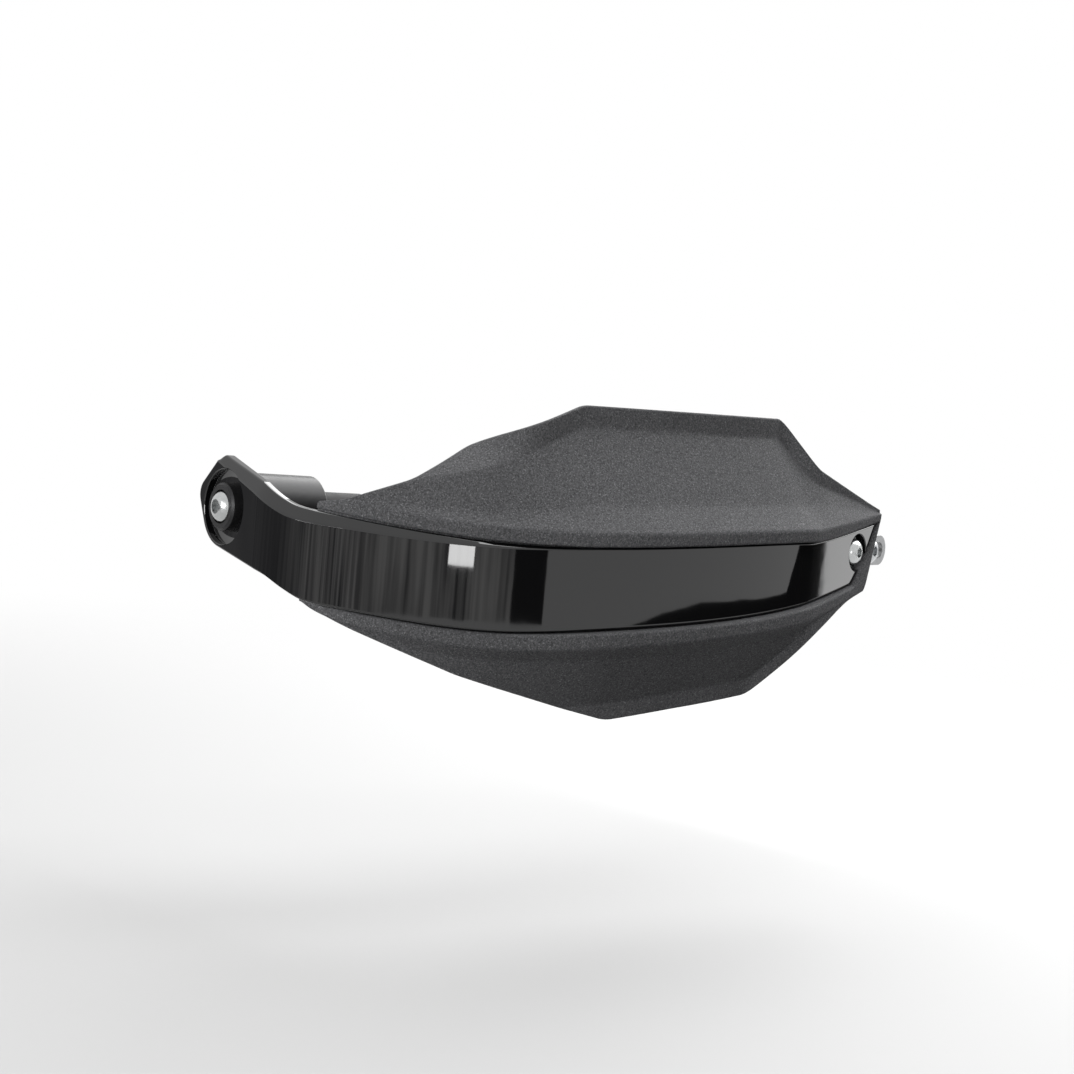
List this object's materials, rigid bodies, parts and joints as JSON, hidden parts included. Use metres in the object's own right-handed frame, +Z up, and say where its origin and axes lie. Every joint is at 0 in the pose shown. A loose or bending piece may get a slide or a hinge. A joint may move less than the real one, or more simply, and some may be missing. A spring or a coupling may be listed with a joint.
{
  "type": "motorcycle hand guard",
  "caption": "Right-hand motorcycle hand guard: a grained shroud on a gloss band that runs from a bar-end weight round the hand to a handlebar clamp.",
  "frame": {"origin": "on the handlebar's axis, at the tube's end face", "axes": "+X inward along the handlebar, -Y the riding direction, +Z up"},
  "size_m": [0.3567, 0.1531, 0.1444],
  "materials": {
    "grained_plastic": "fine-grained charcoal moulding, matt",
    "gloss_plastic": "high-gloss black moulding",
    "bright_steel": "bright stainless steel",
    "zinc_steel": "zinc-plated steel",
    "black_alloy": "satin black anodised aluminium",
    "black_metal": "satin black coated steel",
    "bare_alloy": "tumbled bare aluminium",
    "rubber": "moulded black rubber"
  },
  "bodies": {
    "root": {"shroud": "grained_plastic", "centre_band": "gloss_plastic", "shroud_screws": "zinc_steel", "shroud_screw_washers": "zinc_steel", "bar_end_bolt": "bright_steel", "bar_end_collar": "black_alloy", "eye_bush": "zinc_steel", "bar_end_weight": "black_metal", "anchor_rubber": "rubber", "anchor_washer": "zinc_steel", "anchor_nut": "zinc_steel", "inner_screw": "bright_steel", "inner_screw_washer": "bright_steel", "inner_bracket": "bare_alloy", "inner_nut": "zinc_steel", "standoff_tube": "black_metal", "standoff_bolt": "zinc_steel", "standoff_washer": "zinc_steel", "clamp_body": "black_alloy", "clamp_cap": "black_alloy", "clamp_screws": "zinc_steel"}
  },
  "joints": []
}
